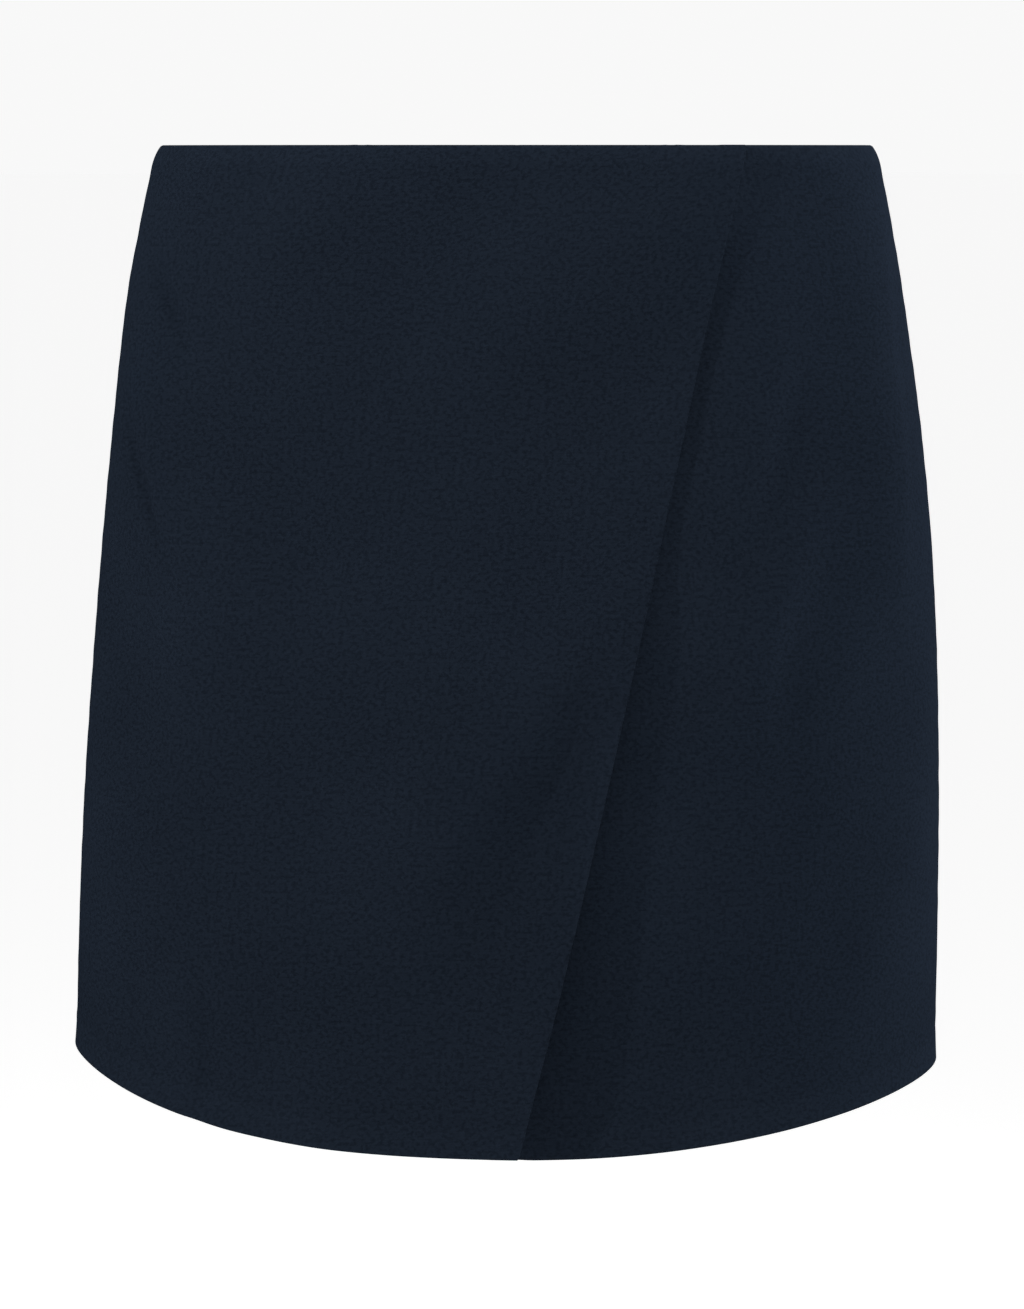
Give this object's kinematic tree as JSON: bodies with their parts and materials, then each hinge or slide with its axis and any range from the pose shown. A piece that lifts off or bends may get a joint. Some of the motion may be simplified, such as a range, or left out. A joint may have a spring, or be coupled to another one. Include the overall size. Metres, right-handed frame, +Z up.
{
  "type": "skort",
  "caption": "Wrap-front mini skort worn and filled out with nobody in it: overlapping skirt panels in front, shorts behind, zip at centre back.",
  "frame": {"origin": "middle of the waist opening, level with the waist edge", "axes": "+Z up, -Y to the wearer's front, +X to the wearer's left"},
  "size_m": [0.35, 0.2656, 0.387],
  "materials": {
    "navy_twill": "matte fine twill, very dark navy",
    "navy_enamel": "satin enamel over zinc"
  },
  "bodies": {
    "garment": {"front_wrap_panel": "navy_twill", "front_under_panel": "navy_twill", "shorts_front_right": "navy_twill", "shorts_front_left": "navy_twill", "shorts_back_right": "navy_twill", "shorts_back_left": "navy_twill", "zip_slider": "navy_enamel"},
    "pull_tab": {"zip_pull_tab": "navy_enamel"}
  },
  "joints": [
    {"name": "pull_tab_swing", "type": "hinge", "parent": "garment", "child": "pull_tab", "pos_m": [0, 0.10232, -0.00848], "axis": [1, 0, 0], "range_deg": [0, 170]}
  ]
}
